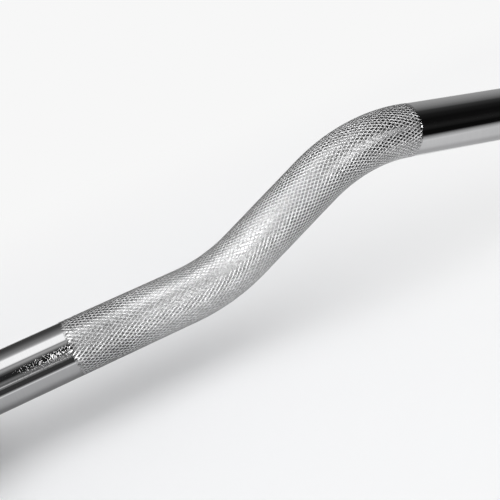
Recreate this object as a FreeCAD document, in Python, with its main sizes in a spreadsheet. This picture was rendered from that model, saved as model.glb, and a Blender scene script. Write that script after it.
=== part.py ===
import FreeCAD
import Part
import Sketcher

import math
import os

# An EZ curl bar: a bent steel shaft with a plate sleeve turning on each end.
# The bar lies along X with its two peaks up, standing on the rims of its collars.
# The origin is on the ground below the middle of the shaft.

# Driving sizes, in millimetres and degrees
SIZES = {
    # Bent shaft
    "grip_dia": (28, "diameter of the grip"),
    "middle_flat": (60, "level run in the middle of the shaft"),
    "inner_slope": (96, "straight run from the middle up to a peak"),
    "inner_angle": (13, "slope of that run"),
    "outer_slope": (51, "straight run from a peak down to the outer grip"),
    "outer_angle": (25, "slope of that run"),
    "bend_radius": (85, "radius of each bend on the centre line"),
    "outer_grip": (125, "level run from the last bend to the shoulder"),
    "shoulder_height": (1.5, "step from the grip down to the journal"),
    "journal_overrun": (3, "journal left outside its circlip groove"),
    "journal_chamfer": (1, "chamfer on the end of the journal"),
    "shaft_groove_depth": (0.55, "depth of the circlip groove in the journal"),
    # Collar and its seal
    "collar_dia": (76, "diameter of the rim that stops the plates"),
    "rim_width": (12, "width of that rim"),
    "hub_drop": (7, "step from the rim down to the hub"),
    "collar_round": (2, "rounding of the collar's edges"),
    "lip_width": (1.5, "lip that keeps the seal in the collar"),
    "lip_clearance": (1.5, "room between the lip and the grip"),
    "seal_width": (4.5, "width of the dust seal"),
    "seal_clearance": (0.3, "room between the seal's lips and the grip"),
    "seal_notch": (1.2, "depth of the notch between the seal's lips"),
    "seal_gap": (0.7, "room between the seal and the shoulder"),
    "washer_room": (1, "room round the inner washer in the collar"),
    # Grub screws
    "screw_dia": (6, "diameter of a grub screw"),
    "screw_length": (10, "length of a grub screw"),
    "screw_clearance": (0.05, "room between a screw and its hole"),
    "socket_flats": (3, "hexagon socket across its flats"),
    "socket_depth": (4, "depth of the hexagon socket"),
    # Bearings
    "running_clearance": (0.05, "room between journal and bushing"),
    "bushing_wall": (3, "wall of a bushing"),
    "bushing_length": (25, "length of a bushing behind its flange"),
    "flange_width": (3, "width of a bushing's flange"),
    "flange_height": (2.5, "height of a bushing's flange"),
    "washer_width": (2, "thickness of a thrust washer"),
    "washer_inset": (0.5, "step from a bushing's flange in to the washer"),
    "washer_clearance": (0.1, "room between journal and washer"),
    "end_play": (0.3, "room between a thrust washer and its bushing"),
    # Sleeve
    "sleeve_dia": (50, "diameter that the plates slide on"),
    "loadable_length": (182, "sleeve outside the collar"),
    "sleeve_chamfer": (1.5, "chamfer on the end of the sleeve"),
    "spigot_length": (11, "sleeve inside the collar"),
    "spigot_wall": (3.4, "wall of the spigot round the bushing's flange"),
    "plate_step": (0.95, "step that the end plate sits on"),
    "mouth_length": (4, "bore left outside the end plate's circlip"),
    "sleeve_groove_depth": (0.9, "depth of the circlip groove in the bore"),
    # End plate
    "plate_width": (5, "thickness of the end plate"),
    "plate_clearance": (0.05, "room round the end plate"),
    "plate_chamfer": (0.8, "chamfer on the end plate"),
    "plate_gap": (4, "room between the journal and the end plate"),
    "dish_dia": (24, "hollow in the face of the end plate"),
    "dish_depth": (1, "depth of that hollow"),
    # Circlips
    "shaft_ring_width": (1.2, "thickness of the shaft's circlip"),
    "sleeve_ring_width": (1.5, "thickness of the sleeve's circlip"),
    "ring_height": (2.6, "height of a circlip's section, on average"),
    "ring_taper": (0.7, "change of that height towards the ears"),
    "ring_slack": (0.1, "room beside a circlip in its groove"),
    "ring_gap": (5, "opening between a circlip's ears"),
    "ear_dia": (4, "diameter of an ear"),
    "ear_lift": (0.2, "room between an ear and the bottom of the groove"),
    "ear_spread": (4, "half the distance between the ears' holes"),
    "ear_hole_dia": (1.6, "diameter of the hole in an ear"),
}

SCREW_COUNT = 3

# Degrees that each end is turned about the upright, and that its sleeve is rolled about the bar
FACING_ANGLES = {"left": 180, "right": 0}
ROLL_ANGLE = 30

# Half the distance between the shaft's shoulders, along the bar
SHOULDER_REACH = (
    "(dims.middle_flat / 2"
    " + dims.inner_slope * cos(dims.inner_angle * 1 deg)"
    " + dims.outer_slope * cos(dims.outer_angle * 1 deg)"
    " + 2 * dims.bend_radius * (sin(dims.inner_angle * 1 deg) + sin(dims.outer_angle * 1 deg))"
    " + dims.outer_grip)"
)
# Height of the shaft's middle above the sleeves' axis
MIDDLE_RISE = (
    "(dims.outer_slope * sin(dims.outer_angle * 1 deg)"
    " - dims.inner_slope * sin(dims.inner_angle * 1 deg)"
    " + 2 * dims.bend_radius * (cos(dims.inner_angle * 1 deg) - cos(dims.outer_angle * 1 deg)))"
)
AXIS_HEIGHT = "dims.collar_dia / 2"

# Places along one end of the bar, outwards from the collar's inner face
SEAL_START = "dims.lip_width"
SEAL_END = f"({SEAL_START} + dims.seal_width)"
SHOULDER = f"({SEAL_END} + dims.seal_gap)"
INNER_WASHER_END = f"({SHOULDER} + dims.washer_width)"
SLEEVE_START = f"({INNER_WASHER_END} + dims.end_play)"
INNER_SEAT = f"({SLEEVE_START} + dims.flange_width)"
INNER_BUSHING_END = f"({INNER_SEAT} + dims.bushing_length)"
COLLAR_STOP = f"({SLEEVE_START} + dims.spigot_length)"
RIM_START = f"({COLLAR_STOP} - dims.rim_width)"
SCREW_LINE = f"({COLLAR_STOP} - dims.rim_width / 2)"
SLEEVE_END = f"({COLLAR_STOP} + dims.loadable_length)"
SLEEVE_GROOVE_END = f"({SLEEVE_END} - dims.mouth_length)"
PLATE_FACE = f"({SLEEVE_GROOVE_END} - dims.ring_slack - dims.sleeve_ring_width)"
PLATE_SEAT = f"({PLATE_FACE} - dims.plate_width)"
JOURNAL_END = f"({PLATE_SEAT} - dims.plate_gap)"
SHAFT_GROOVE_END = f"({JOURNAL_END} - dims.journal_overrun)"
OUTER_WASHER_END = f"({SHAFT_GROOVE_END} - dims.ring_slack - dims.shaft_ring_width)"
OUTER_WASHER_START = f"({OUTER_WASHER_END} - dims.washer_width)"
OUTER_FLANGE_FACE = f"({OUTER_WASHER_START} - dims.end_play)"
OUTER_SEAT = f"({OUTER_FLANGE_FACE} - dims.flange_width)"
OUTER_BUSHING_START = f"({OUTER_SEAT} - dims.bushing_length)"

# Radii about the sleeves' axis
GRIP_RADIUS = "(dims.grip_dia / 2)"
JOURNAL_RADIUS = f"({GRIP_RADIUS} - dims.shoulder_height)"
SHAFT_GROOVE_RADIUS = f"({JOURNAL_RADIUS} - dims.shaft_groove_depth)"
BUSHING_BORE = f"({JOURNAL_RADIUS} + dims.running_clearance)"
SLEEVE_BORE = f"({BUSHING_BORE} + dims.bushing_wall)"
FLANGE_RADIUS = f"({SLEEVE_BORE} + dims.flange_height)"
WASHER_BORE = f"({JOURNAL_RADIUS} + dims.washer_clearance)"
WASHER_RADIUS = f"({FLANGE_RADIUS} - dims.washer_inset)"
POCKET_RADIUS = f"({WASHER_RADIUS} + dims.washer_room)"
SPIGOT_RADIUS = f"({FLANGE_RADIUS} + dims.spigot_wall)"
MOUTH_RADIUS = f"({FLANGE_RADIUS} + dims.plate_step)"
SLEEVE_GROOVE_RADIUS = f"({MOUTH_RADIUS} + dims.sleeve_groove_depth)"
PLATE_RADIUS = f"({MOUTH_RADIUS} - dims.plate_clearance)"
SLEEVE_RADIUS = "(dims.sleeve_dia / 2)"
RIM_RADIUS = "(dims.collar_dia / 2)"
HUB_RADIUS = f"({RIM_RADIUS} - dims.hub_drop)"
LIP_RADIUS = f"({GRIP_RADIUS} + dims.lip_clearance)"
SEAL_BORE = f"({GRIP_RADIUS} + dims.seal_clearance)"

UPWARDS = FreeCAD.Vector(0, 0, 1)
OUTWARDS = FreeCAD.Vector(1, 0, 0)

# Numbers of a sketch's own axes, and of the points of a line, arc or circle
LEVEL_AXIS_INDEX = -1
UPRIGHT_AXIS_INDEX = -2
START_INDEX = 1
END_INDEX = 2
CENTRE_INDEX = 3
SKETCH_ORIGIN = (LEVEL_AXIS_INDEX, START_INDEX)


def make_sheet(doc):
    sheet = doc.addObject("Spreadsheet::Sheet", "dims")
    for row, (alias, (size, meaning)) in enumerate(SIZES.items(), start=1):
        sheet.set(f"A{row}", meaning)
        sheet.set(f"B{row}", str(size))
        sheet.setAlias(f"B{row}", alias)
    doc.recompute()


def value_of(owner, expression):
    return float(owner.evalExpression(expression))


def origin_feature(body, role):
    return next(item for item in body.Origin.OriginFeatures if item.Role == role)


def add_sketch(body, name, plane, lift=None):
    """A sketch on one of the body's own planes, lifted off it where a lift is given."""
    sketch = body.newObject("Sketcher::SketchObject", name)
    sketch.AttachmentSupport = [(origin_feature(body, plane), "")]
    sketch.MapMode = "FlatFace"
    if lift:
        sketch.setExpression("AttachmentOffset.Base.z", lift)
    return sketch


def bind(sketch, constraint, expression):
    index = sketch.addConstraint(constraint)
    sketch.setExpression(f"Constraints[{index}]", expression)


def bind_distance(sketch, kind, tail, head, expression):
    """Bind the signed distance from one point of a sketch to another."""
    size = value_of(sketch, expression)
    if size > 0:
        bind(sketch, Sketcher.Constraint(kind, *tail, *head, size), expression)
    else:
        bind(sketch, Sketcher.Constraint(kind, *head, *tail, -size), f"-({expression})")


def pin_point(sketch, point, across, up):
    """Hold a point of a sketch at two coordinates, each an expression or "0"."""
    coordinates = (("DistanceX", UPRIGHT_AXIS_INDEX, across), ("DistanceY", LEVEL_AXIS_INDEX, up))
    for kind, axis, expression in coordinates:
        if expression == "0":
            sketch.addConstraint(Sketcher.Constraint("PointOnObject", *point, axis))
        else:
            bind_distance(sketch, kind, SKETCH_ORIGIN, point, expression)


def add_outline(sketch, points):
    """A closed outline through points given as pairs of expressions."""
    corners = [FreeCAD.Vector(value_of(sketch, across), value_of(sketch, up), 0) for across, up in points]
    count = len(points)
    for index in range(count):
        sketch.addGeometry(Part.LineSegment(corners[index], corners[(index + 1) % count]))
    for index, (across, up) in enumerate(points):
        following = (index + 1) % count
        sketch.addConstraint(Sketcher.Constraint("Coincident", index, END_INDEX, following, START_INDEX))
        pin_point(sketch, (index, START_INDEX), across, up)


def add_circle(sketch, across, up, radius):
    centre = FreeCAD.Vector(value_of(sketch, across), value_of(sketch, up), 0)
    size = value_of(sketch, radius)
    index = sketch.addGeometry(Part.Circle(centre, UPWARDS, size))
    pin_point(sketch, (index, CENTRE_INDEX), across, up)
    bind(sketch, Sketcher.Constraint("Radius", index, size), radius)


def turn(body, name, points):
    """A solid turned about the body's X axis from half its section."""
    section = add_sketch(body, f"{name}_section", "XZ_Plane")
    add_outline(section, points)
    turned = body.newObject("PartDesign::Revolution", name)
    turned.Profile = section
    turned.ReferenceAxis = (origin_feature(body, "X_Axis"), [""])
    turned.Angle = 360
    return turned


def pad(body, name, sketch, length):
    block = body.newObject("PartDesign::Pad", name)
    block.Profile = sketch
    block.setExpression("Length", length)
    return block


def cut(body, name, sketch, length, along_normal):
    """A pocket of a sketch, which has to take something away."""
    before = body.Shape.Volume
    pocket = body.newObject("PartDesign::Pocket", name)
    pocket.Profile = sketch
    pocket.Reversed = along_normal
    pocket.setExpression("Length", length)
    body.Document.recompute()
    if body.Shape.Volume >= before:
        raise RuntimeError(f"{body.Label}: {name} cuts nothing")
    return pocket


def repeat_round(body, name, features, count):
    pattern = body.newObject("PartDesign::PolarPattern", name)
    pattern.Originals = features
    pattern.Axis = (origin_feature(body, "X_Axis"), [""])
    pattern.Angle = 360
    pattern.Occurrences = count
    body.Tip = pattern


def circle_edges(feature, circles):
    """Names of a turned solid's edges at the given pairs of place and radius."""
    tolerance = 1e-4
    wanted = [(value_of(feature, place), value_of(feature, radius)) for place, radius in circles]
    names = []
    for number, edge in enumerate(feature.Shape.Edges, start=1):
        if not isinstance(edge.Curve, Part.Circle):
            continue
        place, radius = edge.Curve.Center.x, edge.Curve.Radius
        if any(abs(place - x) < tolerance and abs(radius - r) < tolerance for x, r in wanted):
            names.append(f"Edge{number}")
    return names


def make_body(doc, label, rotation=FreeCAD.Rotation()):
    """A body on the sleeves' axis, turned by a rotation."""
    body = doc.addObject("PartDesign::Body", label)
    body.Label = label
    body.Placement = FreeCAD.Placement(FreeCAD.Vector(), rotation)
    body.setExpression("Placement.Base.z", AXIS_HEIGHT)
    return body


def make_end_body(doc, side, piece):
    """A body at one end of the bar, whose X axis runs outwards from the collar's inner face."""
    facing = FreeCAD.Rotation(UPWARDS, FACING_ANGLES[side])
    rolled = FreeCAD.Rotation(OUTWARDS, ROLL_ANGLE)
    body = make_body(doc, f"{side}_{piece}", facing * rolled)
    sign = "-" if side == "left" else ""
    body.setExpression("Placement.Base.x", f"{sign}({SHOULDER_REACH} - {SHOULDER})")
    return body


def heading(angle):
    return FreeCAD.Vector(math.cos(angle), math.sin(angle), 0)


def add_run(sketch, pen, length, slope):
    """A straight run from the pen, whose length and slope are expressions."""
    angle = math.radians(value_of(sketch, slope))
    far_end = pen + heading(angle) * value_of(sketch, length)
    line = sketch.addGeometry(Part.LineSegment(pen, far_end))
    ends = ((line, START_INDEX), (line, END_INDEX))
    bind_distance(sketch, "DistanceX", *ends, f"{length} * cos({slope} * 1 deg)")
    if slope == "0":
        sketch.addConstraint(Sketcher.Constraint("Horizontal", line))
    else:
        bind_distance(sketch, "DistanceY", *ends, f"{length} * sin({slope} * 1 deg)")
    return line, far_end


def add_bend(sketch, pen, slope, next_slope):
    """An arc from the pen that turns one slope into the next."""
    radius = value_of(sketch, "dims.bend_radius")
    angle = math.radians(value_of(sketch, slope))
    next_angle = math.radians(value_of(sketch, next_slope))
    side = math.copysign(math.pi / 2, next_angle - angle)
    hub = pen + heading(angle + side) * radius
    span = sorted((angle - side, next_angle - side))
    arc = sketch.addGeometry(Part.ArcOfCircle(Part.Circle(hub, UPWARDS, radius), *span))
    bind(sketch, Sketcher.Constraint("Radius", arc, radius), "dims.bend_radius")
    near_and_far = (START_INDEX, END_INDEX) if side > 0 else (END_INDEX, START_INDEX)
    return arc, near_and_far, hub - heading(next_angle + side) * radius


def draw_half_path(sketch):
    """The shaft's centre line, from the middle of the bar out to the shoulder."""
    runs = [
        ("dims.middle_flat / 2", "0"),
        ("dims.inner_slope", "dims.inner_angle"),
        ("dims.outer_slope", "-dims.outer_angle"),
        ("dims.outer_grip", "0"),
    ]
    pen = FreeCAD.Vector(0, value_of(sketch, MIDDLE_RISE), 0)
    line, pen = add_run(sketch, pen, *runs[0])
    sketch.addConstraint(Sketcher.Constraint("PointOnObject", line, START_INDEX, UPRIGHT_AXIS_INDEX))
    for (_, slope), following in zip(runs, runs[1:]):
        arc, (near, far), pen = add_bend(sketch, pen, slope, following[1])
        sketch.addConstraint(Sketcher.Constraint("Tangent", line, END_INDEX, arc, near))
        line, pen = add_run(sketch, pen, *following)
        sketch.addConstraint(Sketcher.Constraint("Tangent", arc, far, line, START_INDEX))
    sketch.addConstraint(Sketcher.Constraint("PointOnObject", line, END_INDEX, LEVEL_AXIS_INDEX))


def make_shaft(doc):
    """The bent bar with a journal and a circlip groove turned on each end."""
    body = make_body(doc, "shaft")
    path = add_sketch(body, "centre_line", "XZ_Plane")
    draw_half_path(path)
    section = add_sketch(body, "grip_section", "YZ_Plane")
    add_circle(section, "0", MIDDLE_RISE, GRIP_RADIUS)
    bar = body.newObject("PartDesign::AdditivePipe", "bent_bar")
    bar.Profile = section
    bar.Spine = path
    doc.recompute()

    def along(place):
        return f"({SHOULDER_REACH} - {SHOULDER} + {place})"

    turn(body, "journal", [
        (SHOULDER_REACH, "0"),
        (SHOULDER_REACH, JOURNAL_RADIUS),
        (along(OUTER_WASHER_END), JOURNAL_RADIUS),
        (along(OUTER_WASHER_END), SHAFT_GROOVE_RADIUS),
        (along(SHAFT_GROOVE_END), SHAFT_GROOVE_RADIUS),
        (along(SHAFT_GROOVE_END), JOURNAL_RADIUS),
        (along(f"{JOURNAL_END} - dims.journal_chamfer"), JOURNAL_RADIUS),
        (along(JOURNAL_END), f"{JOURNAL_RADIUS} - dims.journal_chamfer"),
        (along(JOURNAL_END), "0"),
    ])
    doc.recompute()
    whole = body.newObject("PartDesign::Mirrored", "both_halves")
    whole.TransformMode = "Whole shape"
    whole.MirrorPlane = (origin_feature(body, "YZ_Plane"), [""])
    body.Tip = whole
    return body


def make_sleeve(doc, side):
    body = make_end_body(doc, side, "sleeve")
    turn(body, "tube", [
        (SLEEVE_START, FLANGE_RADIUS),
        (SLEEVE_START, SPIGOT_RADIUS),
        (COLLAR_STOP, SPIGOT_RADIUS),
        (COLLAR_STOP, SLEEVE_RADIUS),
        (f"{SLEEVE_END} - dims.sleeve_chamfer", SLEEVE_RADIUS),
        (SLEEVE_END, f"{SLEEVE_RADIUS} - dims.sleeve_chamfer"),
        (SLEEVE_END, MOUTH_RADIUS),
        (SLEEVE_GROOVE_END, MOUTH_RADIUS),
        (SLEEVE_GROOVE_END, SLEEVE_GROOVE_RADIUS),
        (PLATE_FACE, SLEEVE_GROOVE_RADIUS),
        (PLATE_FACE, MOUTH_RADIUS),
        (PLATE_SEAT, MOUTH_RADIUS),
        (PLATE_SEAT, FLANGE_RADIUS),
        (OUTER_SEAT, FLANGE_RADIUS),
        (OUTER_SEAT, SLEEVE_BORE),
        (INNER_SEAT, SLEEVE_BORE),
        (INNER_SEAT, FLANGE_RADIUS),
    ])
    return body


def make_collar(doc, side):
    """A hub and a rim, with a pocket for the seal and holes for the grub screws."""
    body = make_end_body(doc, side, "collar")
    ring = turn(body, "ring", [
        ("0", LIP_RADIUS),
        ("0", HUB_RADIUS),
        (RIM_START, HUB_RADIUS),
        (RIM_START, RIM_RADIUS),
        (COLLAR_STOP, RIM_RADIUS),
        (COLLAR_STOP, SPIGOT_RADIUS),
        (SLEEVE_START, SPIGOT_RADIUS),
        (SLEEVE_START, POCKET_RADIUS),
        (SEAL_START, POCKET_RADIUS),
        (SEAL_START, LIP_RADIUS),
    ])
    doc.recompute()
    rounding = body.newObject("PartDesign::Fillet", "rounded_edges")
    edges = circle_edges(ring, [
        ("0", HUB_RADIUS),
        (RIM_START, HUB_RADIUS),
        (RIM_START, RIM_RADIUS),
        (COLLAR_STOP, RIM_RADIUS),
    ])
    rounding.Base = (ring, edges)
    rounding.setExpression("Radius", "dims.collar_round")
    doc.recompute()
    sketch = add_sketch(body, "screw_hole_circle", "XY_Plane")
    add_circle(sketch, SCREW_LINE, "0", "dims.screw_dia / 2 + dims.screw_clearance")
    hole = cut(body, "screw_hole", sketch, RIM_RADIUS, along_normal=True)
    repeat_round(body, "screw_holes", [hole], SCREW_COUNT)
    return body


def make_grub_screws(doc, side):
    """Socket screws in the collar's rim, each with its flat end on the sleeve's spigot."""
    body = make_end_body(doc, side, "collar_grub_screws")
    body.AllowCompound = True
    shank_circle = add_sketch(body, "shank_circle", "XY_Plane", SPIGOT_RADIUS)
    add_circle(shank_circle, SCREW_LINE, "0", "dims.screw_dia / 2")
    shank = pad(body, "shank", shank_circle, "dims.screw_length")
    doc.recompute()
    hexagon = add_sketch(body, "hexagon", "XY_Plane", f"{SPIGOT_RADIUS} + dims.screw_length")
    corner = "dims.socket_flats / sqrt(3)"
    half_flats = "dims.socket_flats / 2"
    add_outline(hexagon, [
        (f"{SCREW_LINE} + {corner}", "0"),
        (f"{SCREW_LINE} + {corner} / 2", half_flats),
        (f"{SCREW_LINE} - {corner} / 2", half_flats),
        (f"{SCREW_LINE} - {corner}", "0"),
        (f"{SCREW_LINE} - {corner} / 2", f"-{half_flats}"),
        (f"{SCREW_LINE} + {corner} / 2", f"-{half_flats}"),
    ])
    socket = cut(body, "socket", hexagon, "dims.socket_depth", along_normal=False)
    repeat_round(body, "all_screws", [shank, socket], SCREW_COUNT)
    return body


def make_dust_seal(doc, side):
    """A rubber ring with two lips towards the grip."""
    body = make_end_body(doc, side, "dust_seal")
    turn(body, "ring", [
        (SEAL_START, SEAL_BORE),
        (SEAL_START, POCKET_RADIUS),
        (SEAL_END, POCKET_RADIUS),
        (SEAL_END, SEAL_BORE),
        (f"{SEAL_START} + dims.seal_width / 2", f"{SEAL_BORE} + dims.seal_notch"),
    ])
    return body


def make_thrust_washer(doc, side, place, start, end):
    body = make_end_body(doc, side, f"{place}_thrust_washer")
    turn(body, "disc", [
        (start, WASHER_BORE),
        (start, WASHER_RADIUS),
        (end, WASHER_RADIUS),
        (end, WASHER_BORE),
    ])
    return body


def make_bushing(doc, side, place, flange_face, seat, far_end):
    """A bronze bush with a flange that stops it in the sleeve."""
    body = make_end_body(doc, side, f"{place}_bushing")
    turn(body, "bush", [
        (flange_face, BUSHING_BORE),
        (flange_face, FLANGE_RADIUS),
        (seat, FLANGE_RADIUS),
        (seat, SLEEVE_BORE),
        (far_end, SLEEVE_BORE),
        (far_end, BUSHING_BORE),
    ])
    return body


def make_end_plate(doc, side):
    """A chamfered disc with a shallow dish in its outer face."""
    body = make_end_body(doc, side, "end_plate")
    turn(body, "disc", [
        (PLATE_SEAT, "0"),
        (PLATE_SEAT, PLATE_RADIUS),
        (f"{PLATE_FACE} - dims.plate_chamfer", PLATE_RADIUS),
        (PLATE_FACE, f"{PLATE_RADIUS} - dims.plate_chamfer"),
        (PLATE_FACE, "dims.dish_dia / 2"),
        (f"{PLATE_FACE} - dims.dish_depth", "dims.dish_dia / 2 - dims.dish_depth"),
        (f"{PLATE_FACE} - dims.dish_depth", "0"),
    ])
    return body


def make_circlip(doc, side, piece, start, width, groove, growth):
    """An open snap ring with two ears, grown outwards (1) or inwards (-1) from the bottom of its groove."""
    body = make_end_body(doc, side, piece)
    band = add_sketch(body, "band_circles", "YZ_Plane", start)
    add_circle(band, "0", "0", groove)
    add_circle(band, "0", f"{-growth} * dims.ring_taper", f"{groove} + {growth} * dims.ring_height")
    pad(body, "band", band, width)
    ear_reach = f"({groove} + {growth} * (dims.ear_lift + dims.ear_dia / 2))"
    ear_height = f"sqrt({ear_reach} ^ 2 - dims.ear_spread ^ 2)"
    ear_places = {"near": "dims.ear_spread", "far": "-dims.ear_spread"}
    for ear, across in ear_places.items():
        circle = add_sketch(body, f"{ear}_ear_circle", "YZ_Plane", start)
        add_circle(circle, across, ear_height, "dims.ear_dia / 2")
        pad(body, f"{ear}_ear", circle, width)
    doc.recompute()
    opening = add_sketch(body, "opening_outline", "YZ_Plane", start)
    add_outline(opening, [
        ("-dims.ring_gap / 2", f"{ear_height} - dims.ear_dia"),
        ("dims.ring_gap / 2", f"{ear_height} - dims.ear_dia"),
        ("dims.ring_gap / 2", f"{ear_height} + dims.ear_dia"),
        ("-dims.ring_gap / 2", f"{ear_height} + dims.ear_dia"),
    ])
    cut(body, "opening", opening, width, along_normal=True)
    holes = add_sketch(body, "ear_hole_circles", "YZ_Plane", start)
    for across in ear_places.values():
        add_circle(holes, across, ear_height, "dims.ear_hole_dia / 2")
    cut(body, "ear_holes", holes, width, along_normal=True)
    return body


def make_shaft_circlip(doc, side):
    width = "dims.shaft_ring_width"
    return make_circlip(doc, side, "shaft_circlip", OUTER_WASHER_END, width, SHAFT_GROOVE_RADIUS, 1)


def make_sleeve_circlip(doc, side):
    width = "dims.sleeve_ring_width"
    return make_circlip(doc, side, "sleeve_circlip", PLATE_FACE, width, SLEEVE_GROOVE_RADIUS, -1)


def make_end(doc, side):
    """All the pieces of the turning sleeve at one end of the bar."""
    return [
        make_sleeve(doc, side),
        make_collar(doc, side),
        make_grub_screws(doc, side),
        make_dust_seal(doc, side),
        make_thrust_washer(doc, side, "inner", SHOULDER, INNER_WASHER_END),
        make_thrust_washer(doc, side, "outer", OUTER_WASHER_START, OUTER_WASHER_END),
        make_bushing(doc, side, "inner", SLEEVE_START, INNER_SEAT, INNER_BUSHING_END),
        make_bushing(doc, side, "outer", OUTER_FLANGE_FACE, OUTER_SEAT, OUTER_BUSHING_START),
        make_shaft_circlip(doc, side),
        make_end_plate(doc, side),
        make_sleeve_circlip(doc, side),
    ]


def check_document(doc, pieces):
    for item in doc.Objects:
        if "Invalid" in item.State or "Error" in item.State:
            raise RuntimeError(f"{item.Label} did not compute")
    for piece in pieces:
        if piece.Shape.isNull() or not piece.Shape.isValid():
            raise RuntimeError(f"{piece.Label} has no valid shape")


def main():
    doc = FreeCAD.newDocument("ez_curl_bar")
    make_sheet(doc)
    pieces = [make_shaft(doc)]
    for side in FACING_ANGLES:
        pieces += make_end(doc, side)
    doc.recompute()
    check_document(doc, pieces)
    os.makedirs("parts", exist_ok=True)
    for piece in pieces:
        piece.Shape.exportStep(f"parts/{piece.Label}.step")
        print(f"{piece.Label}: {len(piece.Shape.Solids)} solids, {piece.Shape.Volume / 1000:.2f} cm3")


main()
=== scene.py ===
import math
import bmesh
import bpy
from mathutils import Matrix, Vector


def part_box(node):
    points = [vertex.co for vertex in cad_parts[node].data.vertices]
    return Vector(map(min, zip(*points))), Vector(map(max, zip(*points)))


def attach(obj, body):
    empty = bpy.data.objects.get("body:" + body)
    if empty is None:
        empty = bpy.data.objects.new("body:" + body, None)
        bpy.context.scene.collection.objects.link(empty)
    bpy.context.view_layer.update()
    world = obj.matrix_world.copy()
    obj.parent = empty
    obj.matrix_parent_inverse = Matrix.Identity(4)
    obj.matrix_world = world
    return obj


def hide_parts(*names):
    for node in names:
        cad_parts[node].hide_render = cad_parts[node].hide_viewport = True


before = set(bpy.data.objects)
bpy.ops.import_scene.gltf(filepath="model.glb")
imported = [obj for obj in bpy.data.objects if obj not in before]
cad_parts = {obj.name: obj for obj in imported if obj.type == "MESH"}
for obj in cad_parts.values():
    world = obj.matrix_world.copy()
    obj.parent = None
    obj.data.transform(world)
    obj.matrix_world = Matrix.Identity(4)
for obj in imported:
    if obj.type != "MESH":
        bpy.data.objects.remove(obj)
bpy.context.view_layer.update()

scene = bpy.context.scene
scene.view_settings.view_transform = "Standard"
mm = 0.001
sides = {"left": -1, "right": 1}
barAxis = sum(Vector(corner).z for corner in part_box("left_sleeve")) / 2  # height of the sleeves' axis
print("frame loaded, sleeves' axis at", round(barAxis / mm, 2), "mm")


# a shader socket that takes plain sums, each of which adds its Math node
class Socket:
    def __init__(self, tree, out=None):
        self.tree = tree
        self.out = out

    # any node: its settings first, then the values or links of its sockets
    def node(self, kind, settings={}, sockets={}, give=0):
        made = self.tree.nodes.new("ShaderNode" + kind)
        for key, value in settings.items():
            if key == "stops":
                self.setStops(made.color_ramp, value)
            else:
                setattr(made, key, value)
        for key, value in sockets.items():
            if isinstance(value, Socket):
                self.tree.links.new(value.out, made.inputs[key])
            else:
                made.inputs[key].default_value = value
        return Socket(self.tree, made.outputs[give]) if len(made.outputs) else made

    def setStops(self, ramp, stops):
        while len(ramp.elements) < len(stops):
            ramp.elements.new(1.0)
        for element, (place, grey) in zip(ramp.elements, stops):
            element.position = place
            element.color = (grey, grey, grey, 1.0)

    def maths(self, operation, *values):
        return self.node("Math", {"operation": operation}, dict(enumerate(values)))

    def __add__(self, other):
        return self.maths("ADD", self, other)

    def __sub__(self, other):
        return self.maths("SUBTRACT", self, other)

    def __rsub__(self, other):
        return self.maths("SUBTRACT", other, self)

    def __mul__(self, other):
        return self.maths("MULTIPLY", self, other)

    def __truediv__(self, other):
        return self.maths("DIVIDE", self, other)

    __radd__ = __add__
    __rmul__ = __mul__

    def size(self):
        return self.maths("ABSOLUTE", self)

    # 0 before start, 1 after end, smooth between
    def fade(self, start, end):
        settings = {"interpolation_type": "SMOOTHSTEP"}
        return self.node("MapRange", settings, {"Value": self, "From Min": start, "From Max": end})

    # low where this is 0, high where it is 1
    def between(self, low, high):
        return self * (high - low) + low

    # a share of another pattern mixed in
    def blended(self, other, share):
        return self * (1 - share) + other * share

    # noise as a swing about zero
    def swing(self, share):
        return (self - 0.5) * share

    # noise with its grain stretched along the axes, sizes in metres
    def grain(self, sizes, detail):
        place = self.node("TexCoord", give="Object")
        scale = tuple(1 / size for size in sizes)
        place = self.node("Mapping", sockets={"Vector": place, "Scale": scale})
        return self.node("TexNoise", sockets={"Vector": place, "Scale": 1.0, "Detail": detail})

    # rings of a turning tool over this distance, a ring's width in metres
    def rings(self, width, detail):
        sockets = {"W": self / width, "Scale": 1.0, "Detail": detail}
        return self.node("TexNoise", {"noise_dimensions": "1D"}, sockets)

    def mix(self, factor, first, second):
        return self.node("Mix", {"data_type": "RGBA"}, {0: factor, 6: first, 7: second}, give=2)

    def tint(self, factor, first, second):
        return self.mix(factor, (*first, 1.0), (*second, 1.0))

    def bump(self, height, distance, strength, under=None):
        sockets = {"Height": height, "Distance": distance, "Strength": strength}
        if under:
            sockets["Normal"] = under
        return self.node("Bump", sockets=sockets)

    def attribute(self, name):
        return self.node("Attribute", {"attribute_name": name}, give="Fac")

    def axes(self):
        place = self.node("TexCoord", give="Object")
        parts = self.node("SeparateXYZ", sockets={"Vector": place})
        return [Socket(self.tree, out) for out in parts.out.node.outputs]

    # distance from the sleeves' axis
    def reach(self):
        x, y, z = self.axes()
        above = z - barAxis
        return self.maths("SQRT", y * y + above * above)


def newPaint(name):
    material = bpy.data.materials.new(name)
    material.use_nodes = True
    material.node_tree.nodes.clear()
    return material, Socket(material.node_tree)


def shade(paint, colour, roughness, metal, normal):
    sockets = {"Base Color": colour, "Roughness": roughness, "Metallic": metal, "Normal": normal}
    shader = paint.node("BsdfPrincipled", sockets=sockets)
    paint.node("OutputMaterial", sockets={"Surface": shader})


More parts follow.
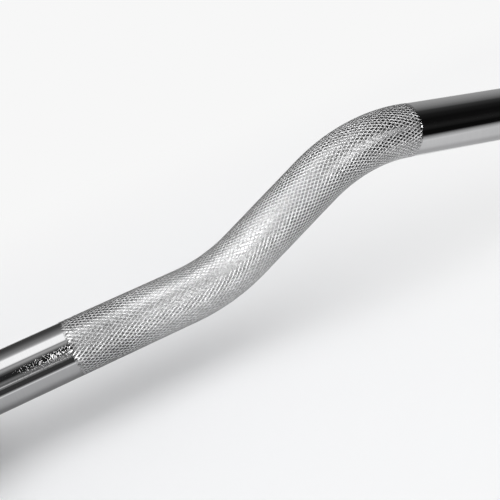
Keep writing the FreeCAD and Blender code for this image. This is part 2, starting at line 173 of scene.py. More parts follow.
# In these looks a grain is its sizes along the axes and its detail, and a bump is its height and strength.
# chrome of the smooth runs, with grinding marks beside the knurl
gripChromeLook = dict(
    dark=(0.55, 0.55, 0.555), light=(0.64, 0.64, 0.645), smooth=0.045, hazy=0.10,
    patches=((45 * mm, 20 * mm, 20 * mm), 3.0), hazeRange=(0.35, 0.75),
    hairlines=((0.35 * mm, 9 * mm, 9 * mm), 2.0), hairlineBump=(0.0015 * mm, 0.6), hairlineShare=0.5,
    ripple=((14 * mm, 6 * mm, 6 * mm), 1.0), rippleBump=(0.02 * mm, 0.5),
    marks=((0.4 * mm, 1.4 * mm, 1.4 * mm), 3.0), markRange=(0.52, 0.75), markBump=(0.032 * mm, 1.0),
    markRoughness=0.02, knurlEnd=341.3 * mm, markedFrom=(-1 * mm, 0), markedTo=(2 * mm, 36 * mm),
    stripLow=(2 * mm, 4 * mm), stripHigh=(10 * mm, 8 * mm), stripFront=(0, -2 * mm))


def gripChrome():
    look = gripChromeLook
    material, paint = newPaint("gripChrome")
    x, y, z = paint.axes()
    haze = paint.grain(*look["patches"]).fade(*look["hazeRange"])
    hairlines = paint.grain(*look["hairlines"])
    above = z - barAxis
    strip = above.fade(*look["stripLow"]) * above.fade(*look["stripHigh"]) * y.fade(*look["stripFront"])
    outside = x.size() - look["knurlEnd"]
    marked = outside.fade(*look["markedFrom"]) * (1 - outside.fade(*look["markedTo"])) * strip
    marks = paint.grain(*look["marks"]).fade(*look["markRange"])
    normal = paint.bump(paint.grain(*look["ripple"]), *look["rippleBump"])
    normal = paint.bump(hairlines, *look["hairlineBump"], normal)
    normal = paint.bump(marks * marked, *look["markBump"], normal)
    mottled = haze.blended(hairlines, look["hairlineShare"])
    roughness = haze.between(look["smooth"], look["hazy"]) + marked * look["markRoughness"]
    shade(paint, paint.tint(mottled, look["light"], look["dark"]), roughness, 1.0, normal)
    return material


# plated knurl: the diamonds' tops mirror as the smooth runs do, and the rougher grooves catch more light;
# the grooves' colour is also a painted highlight, brighter than plain chrome, and the tops' colour a
# painted shade, darker than it
knurlChromeLook = dict(
    black=(0.0, 0.0, 0.0), chrome=(0.97, 0.97, 0.975), groove=1.0, top=0.46, plain=0.6,
    topEdge=(0.45, 0.95), grooveRoughness=0.66, topRoughness=0.3, innerRoughness=0.2, endRoughness=0.07,
    grit=((0.25 * mm,) * 3, 2.0), gritBump=(0.008 * mm, 0.7), gritRoughness=0.06,
    grime=((6 * mm,) * 3, 3.0), grimeShare=0.12, speckle=((1.3 * mm,) * 3, 2.0), speckleShare=0.9,
    undersideShadeSpan=(0.3, -0.15), undersideShadeShare=0.7, barTopShadeSpan=(0.82, 0.97), barTopShadeShare=0.7,
    innerEnd=(182 * mm, 154 * mm), innerEndShadeShare=0.67, innerEndShadeUnder=0.6, innerEndGrooveShade=0.14,
    outerEnd=(300 * mm, 325 * mm), outerEndGrooveShade=0.24,
    wornAndLitFrom=(212 * mm, 245 * mm), wornAndLitTo=(318 * mm, 290 * mm), wornAndLitLift=0.36, wornAndLitGroove=0.16)


def knurlChrome():
    look = knurlChromeLook
    material, paint = newPaint("knurlChrome")
    relief, height, fading = [paint.attribute(name) for name in ("relief", "height", "fading")]
    grime, speckle, grit = [paint.grain(*look[name]) for name in ("grime", "speckle", "grit")]
    away = paint.axes()[0].size()  # from the bar's middle
    inner = away.fade(*look["innerEnd"])
    # painted shade: the grooves darken towards the knurl's outer end
    outer = away.fade(*look["outerEnd"])
    worn = away.fade(*look["wornAndLitFrom"]) * away.fade(*look["wornAndLitTo"])  # palms wear the middle brighter, and the lift of its tops is partly a painted highlight; its grooves are made darker
    # painted shade: the diamonds' tops are darker on the bar's underside
    under = height.fade(*look["undersideShadeSpan"])
    lower = under * (1 - inner) * look["undersideShadeShare"]
    # painted shade: the diamonds' tops are darker along the bar's top
    barTopShade = height.fade(*look["barTopShadeSpan"]) * look["barTopShadeShare"]
    # painted shade: the diamonds' tops are darker towards the knurl's inner end, less so underneath
    innerEndShade = inner * (1 - under * look["innerEndShadeUnder"]) * look["innerEndShadeShare"]
    tops = (1 - lower) * (1 - barTopShade) * (1 - innerEndShade) * look["top"] + worn * look["wornAndLitLift"]
    groove = look["groove"] - outer * look["outerEndGrooveShade"] - worn * look["wornAndLitGroove"]
    # painted shade: the grooves are darker towards the knurl's inner end
    groove = groove - inner * look["innerEndGrooveShade"]
    flat = relief.fade(*look["topEdge"])  # 1 on the diamonds' tops, 0 in the grooves
    grey = flat.between(groove, tops) + grime.swing(look["grimeShare"])
    grey = grey * (1 + speckle.swing(look["speckleShare"]))
    grey = fading.between(grey, look["plain"])  # as the smooth runs where the knurl starts or ends
    topRoughness = inner.between(look["topRoughness"], look["innerRoughness"])
    roughness = flat.between(look["grooveRoughness"], topRoughness) + grit * look["gritRoughness"]
    roughness = fading.between(roughness, look["endRoughness"])
    normal = paint.bump(grit * (1 - fading), *look["gritBump"])
    shade(paint, paint.tint(grey, look["black"], look["chrome"]), roughness, 1.0, normal)
    return material


# turned and plated sleeve, scuffed lengthwise by plates
sleeveChromeLook = dict(
    dark=(0.47, 0.47, 0.475), light=(0.62, 0.62, 0.625), smooth=0.09, scuffed=0.26,
    turned=((0.22 * mm, 60 * mm, 60 * mm), 2.0), turnedBump=(0.004 * mm, 0.8), turnedShare=0.3,
    turnedRoughness=0.06, scuffs=((26 * mm, 0.5 * mm, 0.5 * mm), 3.0), scuffRange=(0.56, 0.72),
    scuffBump=(0.01 * mm, 0.4), rubbed=((60 * mm, 30 * mm, 30 * mm), 2.0), rubbedRange=(0.35, 0.7))


def sleeveChrome():
    look = sleeveChromeLook
    material, paint = newPaint("sleeveChrome")
    turned = paint.grain(*look["turned"])
    scuffs = paint.grain(*look["scuffs"]).fade(*look["scuffRange"])
    worn = scuffs * paint.grain(*look["rubbed"]).fade(*look["rubbedRange"])
    normal = paint.bump(turned, *look["turnedBump"])
    normal = paint.bump(scuffs, *look["scuffBump"], normal)
    mottled = worn.blended(turned, look["turnedShare"])
    roughness = worn.between(look["smooth"], look["scuffed"]) + turned * look["turnedRoughness"]
    shade(paint, paint.tint(mottled, look["light"], look["dark"]), roughness, 1.0, normal)
    return material


# bright collar, with faint turning lines and a rubbed rim
collarChromeLook = dict(
    dark=(0.50, 0.50, 0.505), light=(0.64, 0.64, 0.645), smooth=0.05, rubbed=0.16,
    rings=(0.5 * mm, 2.0), ringShare=0.2, lines=((0.3 * mm, 50 * mm, 50 * mm), 2.0), lineShare=0.4,
    lineBump=(0.003 * mm, 0.7), rim=(36.2 * mm, 38 * mm), rimWear=((3 * mm, 5 * mm, 5 * mm), 3.0),
    wearRange=(0.45, 0.65))


def collarChrome():
    look = collarChromeLook
    material, paint = newPaint("collarChrome")
    reach = paint.reach()
    rings = reach.rings(*look["rings"])
    lines = paint.grain(*look["lines"])
    rim = reach.fade(*look["rim"]) * paint.grain(*look["rimWear"]).fade(*look["wearRange"])
    normal = paint.bump(rings.blended(lines, look["lineShare"]), *look["lineBump"])
    mottled = rim.blended(rings, look["ringShare"])
    roughness = rim.between(look["smooth"], look["rubbed"])
    shade(paint, paint.tint(mottled, look["light"], look["dark"]), roughness, 1.0, normal)
    return material


# faced steel of the end discs
facedSteelLook = dict(
    dark=(0.36, 0.36, 0.365), light=(0.56, 0.56, 0.555), smooth=0.22, rough=0.36, rings=(0.28 * mm, 3.0),
    ringBump=(0.03 * mm, 0.8), stains=((7 * mm,) * 3, 4.0), stainShare=0.45)


def facedSteel():
    look = facedSteelLook
    material, paint = newPaint("facedSteel")
    rings = paint.reach().rings(*look["rings"])
    stains = paint.grain(*look["stains"])
    mottled = rings.blended(stains, look["stainShare"])
    roughness = stains.between(look["smooth"], look["rough"])
    normal = paint.bump(rings, *look["ringBump"])
    shade(paint, paint.tint(mottled, look["light"], look["dark"]), roughness, 1.0, normal)
    return material


# finishes of the small parts share one recipe: a mottled colour, a fine grain and an uneven gloss
smallRecipe = dict(fineDetail=2.0, broad=((4 * mm,) * 3, 3.0), broadShare=0.5, bump=(0.02 * mm, 0.4))
smallFinishes = dict(
    groundWasher=dict(dark=(0.40, 0.40, 0.40), light=(0.56, 0.56, 0.55),
                      roughness=(0.18, 0.34), grain=0.5 * mm, metal=1.0),
    springSteel=dict(dark=(0.045, 0.047, 0.052), light=(0.12, 0.12, 0.125),
                     roughness=(0.28, 0.45), grain=0.4 * mm, metal=1.0),
    blackOxide=dict(dark=(0.016, 0.016, 0.018), light=(0.06, 0.06, 0.062),
                    roughness=(0.32, 0.5), grain=0.35 * mm, metal=0.85),
    bushBronze=dict(dark=(0.33, 0.18, 0.075), light=(0.60, 0.37, 0.17),
                    roughness=(0.26, 0.44), grain=0.3 * mm, metal=1.0),
    sealRubber=dict(dark=(0.010, 0.010, 0.011), light=(0.030, 0.030, 0.031),
                    roughness=(0.5, 0.72), grain=0.6 * mm, metal=0.0),
)


def smallFinish(name):
    look = smallFinishes[name]
    material, paint = newPaint(name)
    fine = paint.grain((look["grain"],) * 3, smallRecipe["fineDetail"])
    broad = paint.grain(*smallRecipe["broad"])
    mottled = fine.blended(broad, smallRecipe["broadShare"])
    normal = paint.bump(fine, *smallRecipe["bump"])
    shade(paint, paint.tint(mottled, look["dark"], look["light"]), broad.between(*look["roughness"]),
          look["metal"], normal)
    return material


largeFinishes = (gripChrome, knurlChrome, sleeveChrome, collarChrome, facedSteel)
looks = {make.__name__: make() for make in largeFinishes}
looks.update({name: smallFinish(name) for name in smallFinishes})
print("finishes made:", len(looks))

cornerSegments = 6  # of a rounded corner
closeness = dict(turned=0.0005 * mm, mirrored=0.001 * mm, knurl=0.005 * mm)  # nearer points are merged


# closed outline of (along, out, rounding) corners, turned about the X axis
def turnOutline(bm, corners, steps):
    points = [bm.verts.new((along, 0, out)) for along, out, rounding in corners]
    for first, second in zip(points, points[1:] + points[:1]):
        if first.co.z or second.co.z:  # nothing runs along the axis itself
            bm.edges.new((first, second))
    for radius in {rounding for along, out, rounding in corners if rounding}:
        chosen = [point for point, corner in zip(points, corners) if corner[2] == radius]
        bmesh.ops.bevel(bm, geom=chosen, offset=radius, affect="VERTICES", segments=cornerSegments,
                        profile=0.5, material=-1)
    turnRound(bm, steps)


def turnRound(bm, steps):
    bmesh.ops.spin(bm, geom=bm.verts[:] + bm.edges[:], cent=(0, 0, 0), axis=(1, 0, 0), angle=2 * math.pi,
                   steps=steps, use_merge=True, use_duplicate=False)
    bmesh.ops.remove_doubles(bm, verts=bm.verts, dist=closeness["turned"])
    bmesh.ops.recalc_face_normals(bm, faces=bm.faces)


# smooth faces, with edges sharper than an angle left crisp
def smoothFaces(bm, crispAngle):
    for face in bm.faces:
        face.smooth = True
    for edge in bm.edges:
        edge.smooth = edge.is_manifold and edge.calc_face_angle() < math.radians(crispAngle)


def makePiece(bm, name, look, body, replaced=()):
    mesh = bpy.data.meshes.new(name)
    bm.to_mesh(mesh)
    bm.free()
    piece = bpy.data.objects.new(name, mesh)
    scene.collection.objects.link(piece)
    mesh.materials.append(looks[look])
    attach(piece, body)
    if replaced:
        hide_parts(*replaced)
    print("piece", name, len(mesh.polygons), "faces")
    return piece


# the bar's line from its middle to one end: straight runs, and bends in degrees upwards
barLine = dict(middleHeight=barAxis + 11.529 * mm, bendRadius=85 * mm,
               runs=(30 * mm, 96 * mm, 51 * mm, 305.7 * mm), bends=(13, -38, 25))


def barStretches():
    line = barLine
    stretches = []
    start, x, z, slope = 0.0, 0.0, line["middleHeight"], 0.0
    for number, run in enumerate(line["runs"]):
        stretches.append((start, run, x, z, slope, 0))
        start, x, z = start + run, x + run * math.cos(slope), z + run * math.sin(slope)
        if number < len(line["bends"]):
            turn = math.radians(line["bends"][number])
            radius = math.copysign(line["bendRadius"], turn)
            stretches.append((start, radius * turn, x, z, slope, radius))
            x += radius * (math.sin(slope + turn) - math.sin(slope))
            z -= radius * (math.cos(slope + turn) - math.cos(slope))
            start, slope = start + radius * turn, slope + turn
    return stretches


stretches = barStretches()  # each with its start, length, place, slope and bend radius
bendEnds = [(start, start + length) for start, length, x, z, slope, radius in stretches if radius]
lengthSlack = 1e-9
bendSlack = 1e-6


# place and slope of the bar's middle line at a length from its middle
def barPlace(length):
    begun = [stretch for stretch in stretches if stretch[0] <= length + lengthSlack]
    start, span, x, z, slope, radius = begun[-1]
    along = length - start
    if not radius:
        return x + along * math.cos(slope), z + along * math.sin(slope), slope
    turned = slope + along / radius
    x += radius * (math.sin(turned) - math.sin(slope))
    z -= radius * (math.cos(turned) - math.cos(slope))
    return x, z, turned


# straight stock laid along the bar's line, as the real one is turned and knurled before it is bent
def bendStock(bm):
    for vert in bm.verts:
        side = math.copysign(1, vert.co.x)
        x, z, slope = barPlace(abs(vert.co.x))
        out = vert.co.z
        vert.co = (side * (x - out * math.sin(slope)), vert.co.y, z + out * math.cos(slope))


knurl = dict(start=143 * mm, length=208.3 * mm, around=46, along=60.5, tip=14 * mm, depth=0.18 * mm,
             flank=0.36 * mm, innerRunOut=1.2 * mm, outerRunOut=1.5 * mm, innerFading=2 * mm,
             outerFading=4 * mm, inside=13.1 * mm, cuts=40)
shaft = dict(grip=14 * mm, underKnurl=13.2 * mm, shoulder=414.748 * mm, shoulderChamfer=0.4 * mm,
             journal=12.5 * mm, groove=(591.148 * mm, 592.448 * mm), grooveRadius=11.95 * mm,
             end=595.448 * mm, endChamfer=1 * mm, steps=96, bendCuts=23, crispAngle=30)


# half the shaft's outline, straight: thinner under the knurl, with a journal for the sleeve
def shaftCorners():
    size = shaft
    knurlEnd = knurl["start"] + knurl["length"]
    corners = [(0, size["grip"])]
    for place in sorted([end for ends in bendEnds for end in ends] + [knurl["start"], knurlEnd]):
        within = knurl["start"] <= place <= knurlEnd
        if place == knurl["start"]:
            corners.append((place, size["grip"]))
        corners.append((place, size["underKnurl"] if within else size["grip"]))
        if place == knurlEnd:
            corners.append((place, size["grip"]))
    shoulder, chamfer = size["shoulder"], size["shoulderChamfer"]
    corners += [(shoulder - chamfer, size["grip"]), (shoulder, size["grip"] - chamfer)]
    corners.append((shoulder, size["journal"]))
    low, high = size["groove"]
    corners += [(low, size["journal"]), (low, size["grooveRadius"])]
    corners += [(high, size["grooveRadius"]), (high, size["journal"])]
    end, chamfer = size["end"], size["endChamfer"]
    corners += [(end - chamfer, size["journal"]), (end, size["journal"] - chamfer), (end, 0)]
    return corners


def isBent(first, second):
    start, end = first.co.x, second.co.x
    return end > start and any(low - bendSlack < start and end < high + bendSlack for low, high in bendEnds)


def buildShaft():
    size = shaft
    bm = bmesh.new()
    points = [bm.verts.new((along, 0, out)) for along, out in shaftCorners()]
    bent = []
    for first, second in zip(points, points[1:]):
        edge = bm.edges.new((first, second))
        if isBent(first, second):
            bent.append(edge)
    bmesh.ops.subdivide_edges(bm, edges=bent, cuts=size["bendCuts"])
    turnRound(bm, size["steps"])
    bmesh.ops.mirror(bm, geom=bm.verts[:] + bm.edges[:] + bm.faces[:], matrix=Matrix(),
                     merge_dist=closeness["mirrored"], axis="X")
    bmesh.ops.remove_doubles(bm, verts=bm.verts, dist=closeness["mirrored"])
    bmesh.ops.recalc_face_normals(bm, faces=bm.faces)
    smoothFaces(bm, size["crispAngle"])
    bendStock(bm)
    makePiece(bm, "bentShaft", "gripChrome", "shaft_assembly", ["shaft"])


buildShaft()


# two crossing sets of grooves leave flat-topped diamonds
def buildKnurl(side):
    size = knurl
    bm = bmesh.new()
    half = Vector((size["length"] / 2, math.pi * size["tip"], 0))
    cutDiamonds(bm, half)
    rollKnurl(bm, half.x, sides[side])
    bmesh.ops.remove_doubles(bm, verts=bm.verts, dist=closeness["knurl"])
    closeInside(bm)
    bmesh.ops.recalc_face_normals(bm, faces=bm.faces)
    middle = sides[side] * (size["start"] + size["length"] / 2)
    bmesh.ops.translate(bm, verts=bm.verts, vec=(middle, 0, 0))
    bendStock(bm)
    makePiece(bm, side + "GripKnurl", "knurlChrome", "shaft_assembly")


# a flat sheet of diamonds, trimmed to the knurl's length and girth
def cutDiamonds(bm, half):
    size = knurl
    pitch = Vector((size["length"] / size["along"], 2 * math.pi * size["tip"] / size["around"], 1))
    cells = 2 * math.ceil((size["along"] + size["around"]) / 2 + 1)
    halfGrid = cells / math.sqrt(8)  # squares with diagonals of 1, before they are stretched by the pitch
    bmesh.ops.create_grid(bm, x_segments=cells, y_segments=cells, size=halfGrid)
    bmesh.ops.rotate(bm, verts=bm.verts, cent=(0, 0, 0), matrix=Matrix.Rotation(math.pi / 4, 3, "Z"))
    bmesh.ops.scale(bm, verts=bm.verts, vec=pitch)
    bmesh.ops.inset_individual(bm, faces=bm.faces, thickness=size["flank"], depth=size["depth"],
                               use_even_offset=True)
    for way in ((1, 0, 0), (-1, 0, 0), (0, 1, 0), (0, -1, 0)):
        place = Vector([half[axis] * way[axis] for axis in range(3)])
        bmesh.ops.bisect_plane(bm, geom=bm.verts[:] + bm.edges[:] + bm.faces[:], dist=closeness["turned"],
                               plane_co=place, plane_no=way, clear_outer=True)


# the sheet rolled round the bar, shallower towards both ends, with what its finish needs on the points
def rollKnurl(bm, halfLength, way):
    size = knurl
    relief, height, fading = [bm.verts.layers.float.new(name) for name in ("relief", "height", "fading")]
    for vert in bm.verts:
        outwards = vert.co.x * way
        innerEnd, outerEnd = halfLength + outwards, halfLength - outwards  # how far off the ends are
        vert[fading] = max(0.0, 1 - innerEnd / size["innerFading"], 1 - outerEnd / size["outerFading"])
        shallow = min(1.0, innerEnd / size["innerRunOut"], outerEnd / size["outerRunOut"])
        sunk = (size["depth"] - vert.co.z) * shallow
        vert[relief] = 1 - sunk / size["depth"]
        out = size["tip"] - sunk
        angle = vert.co.y / size["tip"]
        vert[height] = math.cos(angle)  # 1 on the bar's top, -1 underneath
        vert.co = (vert.co.x, out * math.sin(angle), out * math.cos(angle))


# end walls down to a plain inner wall, which is cut so that it can bend
def closeInside(bm):
    rim = [edge for edge in bm.edges if edge.is_boundary]
    walls = bmesh.ops.extrude_edge_only(bm, edges=rim)["geom"]
    inner = [vert for vert in walls if isinstance(vert, bmesh.types.BMVert)]
    for vert in inner:
        vert.co.yz = vert.co.yz.normalized() * knurl["inside"]
    rings = [edge for edge in bm.edges if edge.is_boundary]
    bridge = bmesh.ops.bridge_loops(bm, edges=rings)
    around = {edge for face in bridge["faces"] for edge in face.edges}
    lengthwise = [edge for edge in around if edge.calc_length() > knurl["length"] / 2]
    bmesh.ops.subdivide_edges(bm, edges=lengthwise, cuts=knurl["cuts"], use_grid_fill=True)


for side in sides:
    buildKnurl(side)


# end pieces are drawn for the right end, outwards from the bar's middle, and faced left by half a turn
def placeEnd(bm, side):
    if sides[side] < 0:
        bmesh.ops.rotate(bm, verts=bm.verts, cent=(0, 0, 0), matrix=Matrix.Rotation(math.pi, 3, "Z"))
    bmesh.ops.translate(bm, verts=bm.verts, vec=(0, 0, barAxis))


def turnEndPiece(side, size, corners, name, look, node):
    bm = bmesh.new()
    turnOutline(bm, corners, size["steps"])
    smoothFaces(bm, size["crispAngle"])
    placeEnd(bm, side)
    return makePiece(bm, side + name, look, side + "_sleeve_assembly", [side + node])


sleeve = dict(start=407.148 * mm, stop=418.148 * mm, end=600.148 * mm, spigot=21.45 * mm, radius=25 * mm,
              bore=15.55 * mm, flange=18.05 * mm, innerSeat=3 * mm, outerSeat=24.2 * mm, mouth=19 * mm,
              plateSeat=10.6 * mm, groove=(594.548 * mm, 596.148 * mm), grooveRadius=19.9 * mm,
              chamfer=1.5 * mm, stopRounding=0.3 * mm, endRounding=0.4 * mm, mouthRounding=0.3 * mm,
              steps=128, crispAngle=32)


def buildSleeve(side):
    size = sleeve
    start, end, chamfer = size["start"], size["end"], size["chamfer"]
    innerSeat, outerSeat = start + size["innerSeat"], end - size["outerSeat"]
    plateSeat = end - size["plateSeat"]
    low, high = size["groove"]
    corners = [
        (start, size["flange"], 0), (start, size["spigot"], 0), (size["stop"], size["spigot"], 0),
        (size["stop"], size["radius"], size["stopRounding"]),
        (end - chamfer, size["radius"], size["endRounding"]),
        (end, size["radius"] - chamfer, size["endRounding"]),
        (end, size["mouth"], size["mouthRounding"]),
        (high, size["mouth"], 0), (high, size["grooveRadius"], 0),
        (low, size["grooveRadius"], 0), (low, size["mouth"], 0),
        (plateSeat, size["mouth"], 0), (plateSeat, size["flange"], 0),
        (outerSeat, size["flange"], 0), (outerSeat, size["bore"], 0),
        (innerSeat, size["bore"], 0), (innerSeat, size["flange"], 0),
    ]
    turnEndPiece(side, size, corners, "PlateSleeve", "sleeveChrome", "_sleeve")


collar = dict(start=398.148 * mm, rimStart=406.148 * mm, end=418.148 * mm, lip=15.5 * mm, hub=31 * mm,
              rim=38 * mm, spigot=21.45 * mm, seal=399.648 * mm, sleeve=407.148 * mm, pocket=18.55 * mm,
              fillet=2 * mm, lipRounding=0.4 * mm, boreRounding=0.3 * mm, steps=144, crispAngle=32,
              screwPlace=412.148 * mm, screwHole=3.05 * mm, screws=3, screwRoll=30,
              drillSegments=32, drillLength=30 * mm)


def buildCollar(side):
    size = collar
    fillet = size["fillet"]
    corners = [
        (size["start"], size["lip"], size["lipRounding"]), (size["start"], size["hub"], fillet),
        (size["rimStart"], size["hub"], fillet), (size["rimStart"], size["rim"], fillet),
        (size["end"], size["rim"], fillet), (size["end"], size["spigot"], size["boreRounding"]),
        (size["sleeve"], size["spigot"], 0), (size["sleeve"], size["pocket"], 0),
        (size["seal"], size["pocket"], 0), (size["seal"], size["lip"], 0),
    ]
    piece = turnEndPiece(side, size, corners, "PlateCollar", "collarChrome", "_collar")
    drillCollar(piece, side)


# a drill for each grub screw, through the collar's rim
def makeDrills(side):
    size = collar
    bm = bmesh.new()
    for number in range(size["screws"]):
        drill = bmesh.ops.create_cone(bm, cap_ends=True, segments=size["drillSegments"],
                                      radius1=size["screwHole"], radius2=size["screwHole"],
                                      depth=size["drillLength"])["verts"]
        bmesh.ops.translate(bm, verts=drill, vec=(0, 0, size["rim"]))
        turn = math.radians(size["screwRoll"] + 360 * number / size["screws"])
        bmesh.ops.rotate(bm, verts=drill, cent=(0, 0, 0), matrix=Matrix.Rotation(turn, 3, "X"))
        bmesh.ops.translate(bm, verts=drill, vec=(size["screwPlace"], 0, 0))
    placeEnd(bm, side)
    mesh = bpy.data.meshes.new(side + "Drills")
    bm.to_mesh(mesh)
    bm.free()
    drills = bpy.data.objects.new(side + "Drills", mesh)
    scene.collection.objects.link(drills)
    return drills


def drillCollar(piece, side):
    drills = makeDrills(side)
    cut = piece.modifiers.new("drilled", "BOOLEAN")
    cut.operation = "DIFFERENCE"
    cut.solver = "EXACT"
    cut.object = drills
    evaluated = piece.evaluated_get(bpy.context.evaluated_depsgraph_get())
    drilled = bpy.data.meshes.new_from_object(evaluated)
    piece.modifiers.clear()
    piece.data = drilled
    bpy.data.objects.remove(drills)
    bm = bmesh.new()
    bm.from_mesh(drilled)
    smoothFaces(bm, collar["crispAngle"])
    bm.to_mesh(drilled)
    bm.free()


endPlate = dict(start=589.548 * mm, end=594.548 * mm, radius=18.95 * mm, chamfer=0.8 * mm, dish=12 * mm,
                dishDepth=1 * mm, edgeRounding=0.25 * mm, dishRounding=0.4 * mm, steps=96, crispAngle=25)


def buildEndPlate(side):
    size = endPlate
    end, chamfer, depth = size["end"], size["chamfer"], size["dishDepth"]
    corners = [
        (size["start"], 0, 0), (size["start"], size["radius"], 0), (end - chamfer, size["radius"], 0),
        (end, size["radius"] - chamfer, 0), (end, size["dish"], size["edgeRounding"]),
        (end - depth, size["dish"] - depth, size["dishRounding"]), (end - depth, 0, 0),
    ]
    turnEndPiece(side, size, corners, "EndDisc", "facedSteel", "_end_plate")


for side in sides:
    buildSleeve(side)
    buildCollar(side)
    buildEndPlate(side)

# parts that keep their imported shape
keptFinishes = dict(collar_grub_screws="blackOxide", dust_seal="sealRubber",
                    inner_thrust_washer="groundWasher", outer_thrust_washer="groundWasher",
                    inner_bushing="bushBronze", outer_bushing="bushBronze",
                    shaft_circlip="springSteel", sleeve_circlip="springSteel")
for side in sides:
    for part, finish in keptFinishes.items():
        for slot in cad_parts[side + "_" + part].material_slots:
            slot.material = looks[finish]
print("kept parts finished")


# a flat card between two corners
def addStage(name, corners, material):
    bm = bmesh.new()
    bmesh.ops.create_grid(bm, x_segments=1, y_segments=1, size=0.5)
    low, high = Vector(corners[0]), Vector(corners[1])
    span = high - low
    flat = min(range(3), key=lambda axis: abs(span[axis]))
    first, second = [axis for axis in range(3) if axis != flat]
    for vert in bm.verts:
        place = (low + high) / 2
        place[first] += span[first] * vert.co.x
        place[second] += span[second] * vert.co.y
        vert.co = place
    mesh = bpy.data.meshes.new(name)
    bm.to_mesh(mesh)
    bm.free()
    piece = bpy.data.objects.new(name, mesh)
    scene.collection.objects.link(piece)
    mesh.materials.append(material)
    return piece


# pale floor that turns plain white away from the bar, and glows part white near the bar's middle, a painted
# light that lightens the bar's shadow there
floor = dict(half=5.0, colour=(0.895, 0.90, 0.91, 1.0), white=0.93, nearby=(0.06, 0.32), beyond=(0.7, 1.2),
             litPatchFrom=(-0.32, 0.0), litPatchTo=(0.4, 0.15), litPatchShare=0.74)


def seenRays(paint):
    camera = paint.node("LightPath", give="Is Camera Ray")
    ways = camera.out.node.outputs
    glossy = Socket(paint.tree, ways["Is Glossy Ray"])
    through = Socket(paint.tree, ways["Is Transmission Ray"])
    return paint.maths("MINIMUM", camera + glossy + through, 1.0)


def buildFloor():
    material, paint = newPaint("paleFloor")
    x, y, z = paint.axes()
    # painted light: the floor glows part white near the bar's middle, lightening the bar's shadow
    pale = x.fade(*floor["litPatchFrom"]) * x.fade(*floor["litPatchTo"]) * floor["litPatchShare"]
    away = paint.maths("MAXIMUM", y.size().fade(*floor["nearby"]), x.size().fade(*floor["beyond"]))
    away = paint.maths("MAXIMUM", away, pale)
    matte = paint.node("BsdfDiffuse", sockets={"Color": floor["colour"]})
    white = paint.node("Emission", sockets={"Color": (1, 1, 1, 1), "Strength": floor["white"]})
    mixed = paint.node("MixShader", sockets={0: away * seenRays(paint), 1: matte, 2: white})
    paint.node("OutputMaterial", sockets={"Surface": mixed})
    half = floor["half"]
    addStage("floor", ((-half, -half, 0), (half, half, 0)), material)


buildFloor()

# grey cards round the bar, seen only as reflections in it
# each has its light by place along one axis, and some change from left to right over a blend
brightest = 6.5
cards = dict(
    roof=dict(corners=((-0.75, -1.0, 1.0), (1.6, 1.0, 1.0)), along=1, blend=(-0.2, 0.25),
              left=((-1.0, 0.03), (-0.75, 0.13), (-0.52, 0.50), (-0.42, 0.42), (-0.36, 0.33),
                    (-0.31, 1.15), (-0.24, 1.42), (0.17, 1.42), (0.25, 0.80), (0.34, 0.46),
                    (0.50, 0.30), (1.0, 0.12)),
              right=((-1.0, 0.006), (-0.40, 0.015), (0.02, 0.05), (0.20, 0.16), (0.55, 0.29),
                     (1.0, 0.36))),
    frontWall=dict(corners=((-0.6, -1.0, 0.0), (1.6, -1.0, 1.0)), along=2, blend=(-0.3, -0.1),
                   left=((0.0, 0.15), (0.11, 0.30), (0.15, 0.95), (0.18, 0.34), (0.25, 0.14),
                         (0.37, 0.25), (0.48, 0.12), (0.58, 0.022), (1.0, 0.025)),
                   right=((0.0, 0.010), (0.2, 0.018), (0.5, 0.007), (1.0, 0.006))),
    backWall=dict(corners=((-1.6, 1.0, 0.0), (1.6, 1.0, 1.0)), along=2, blend=(-0.2, 0.5),
                  left=((0.0, 0.09), (0.45, 0.062), (0.75, 0.09), (1.0, 0.14)),
                  right=((0.0, 0.42), (0.55, 0.41), (1.0, 0.36))),
    frontLow=dict(corners=((-1.6, -1.0, 0.0), (-0.6, -1.0, 0.4)), along=2,
                  left=((0.0, 0.03), (0.4, 0.03))),
    roofLeft=dict(corners=((-1.6, -1.0, 1.0), (-0.75, 1.0, 1.0)), along=1,
                  left=((-1.0, 0.05), (1.0, 0.05))),
    frontBoxLeft=dict(corners=((-1.6, -0.99, 0.36), (-0.62, -0.99, 1.0)), along=2,
                      left=((0.36, 4.4), (1.0, 5.9))),
    frontBoxTop=dict(corners=((-1.6, -1.0, 0.99), (-0.66, -0.5, 0.99)), along=1,
                     left=((-1.0, 6.4), (-0.5, 6.0))),
    frontBoxRight=dict(corners=((-0.06, -0.99, 0.3), (0.56, -0.99, 0.8)), along=2,
                       left=((0.3, 3.8), (0.8, 3.8))),
    leftEnd=dict(corners=((-1.6, -1.0, 0.0), (-1.6, 1.0, 1.0)), along=2, left=((0.0, 0.05), (1.0, 0.10))),
    rightEnd=dict(corners=((1.6, -1.0, 0.0), (1.6, 1.0, 1.0)), along=2, left=((0.0, 0.03), (1.0, 0.03))),
)


def hideCard(piece):
    piece.visible_camera = False
    piece.visible_diffuse = False
    piece.visible_transmission = False
    piece.visible_volume_scatter = False
    piece.visible_shadow = False


def cardLight(paint, card, side):
    low, high = (corner[card["along"]] for corner in card["corners"])
    place = (paint.axes()[card["along"]] - low) / (high - low)
    stops = [((spot - low) / (high - low), glow / brightest) for spot, glow in card[side]]
    return paint.node("ValToRGB", {"stops": stops}, {"Fac": place})


def buildCard(name, card):
    material, paint = newPaint(name)
    light = cardLight(paint, card, "left")
    if "right" in card:
        across = paint.axes()[0].fade(*card["blend"])
        light = paint.mix(across, light, cardLight(paint, card, "right"))
    glow = paint.node("Emission", sockets={"Color": light, "Strength": brightest})
    paint.node("OutputMaterial", sockets={"Surface": glow})
    hideCard(addStage(name, card["corners"], material))


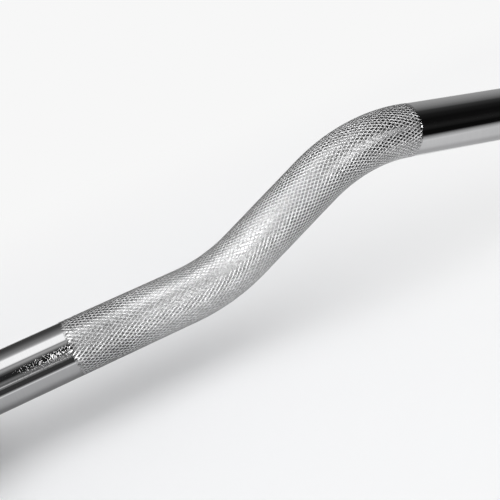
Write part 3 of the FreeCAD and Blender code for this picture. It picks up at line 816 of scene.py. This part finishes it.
# a part-clear dark card just over the floor, which shades the floor's reflection in the bar's lower side
floorFlag = dict(corners=((-1.6, -1.0, 0.001), (1.6, 0.03, 0.001)), glow=(0.05, 0.005), blend=(-0.25, 0.0),
                 edge=-0.05, widths=(0.075, 0.14), leftEdge=(-0.2, -0.33), shares=(0.15, 0.4),
                 line=-0.08, lineFade=(0.012, 0.003), under=(-0.03, 0.0), underShare=0.22)


def buildFloorFlag():
    flag = floorFlag
    material, paint = newPaint("floorFlag")
    x, y, z = paint.axes()
    across = x.fade(*flag["blend"])
    left, right = [(grey,) * 3 for grey in flag["glow"]]
    dark = paint.node("Emission", sockets={"Color": paint.tint(across, left, right)})
    clear = paint.node("BsdfTransparent")
    line = (y - flag["line"]).size().fade(*flag["lineFade"]) * (1 - across)  # a bright gap at the left
    near = x.fade(*flag["leftEdge"]).between(*flag["shares"])
    front = ((flag["edge"] - y) / across.between(*flag["widths"])).fade(0, 1)
    under = y.fade(*flag["under"]) * flag["underShare"]
    cover = paint.maths("MAXIMUM", front, near + under) * (1 - line)
    soft = paint.node("MixShader", sockets={0: cover, 1: clear, 2: dark})
    paint.node("OutputMaterial", sockets={"Surface": soft})
    hideCard(addStage("floorFlag", flag["corners"], material))


for name, card in cards.items():
    buildCard(name, card)
buildFloorFlag()

# one large lamp overhead lights the floor, and the cards stand in for it in reflections
overheadLamp = dict(place=(-0.1, -0.28, 1.22), aim=(-0.2, 0.2, 0.03), size=(2.0, 2.2), light=1.28)
surround = dict(seen=0.92, light=0.45)


def buildLamp():
    light = bpy.data.lights.new("overheadLamp", "AREA")
    light.shape = "RECTANGLE"
    light.size, light.size_y = overheadLamp["size"]
    light.energy = overheadLamp["light"] * math.pi * light.size * light.size_y
    holder = bpy.data.objects.new("overheadLamp", light)
    place, aim = Vector(overheadLamp["place"]), Vector(overheadLamp["aim"])
    holder.location = place
    holder.rotation_euler = (aim - place).to_track_quat("-Z", "Y").to_euler()
    holder.visible_glossy = False
    scene.collection.objects.link(holder)


def buildSurround():
    world = bpy.data.worlds.new("surround")
    scene.world = world
    world.use_nodes = True
    world.node_tree.nodes.clear()
    paint = Socket(world.node_tree)
    lit, seen = [paint.node("Background", sockets={"Color": (1, 1, 1, 1), "Strength": surround[use]})
                 for use in ("light", "seen")]
    mixed = paint.node("MixShader", sockets={0: seenRays(paint), 1: lit, 2: seen})
    paint.node("OutputWorld", sockets={"Surface": mixed})


buildLamp()
buildSurround()

view = dict(place=(-0.34254, -0.34338, 0.23292), turn=(61.509, 14.746, -24.322), lens=57.6, sensor=36.0,
            nearest=0.01)
lens = bpy.data.cameras.new("camera")
lens.lens = view["lens"]
lens.sensor_width = view["sensor"]
lens.clip_start = view["nearest"]
camera = bpy.data.objects.new("camera", lens)
camera.location = view["place"]
camera.rotation_euler = [math.radians(angle) for angle in view["turn"]]
scene.collection.objects.link(camera)
scene.camera = camera
print("stage, lights and camera set")
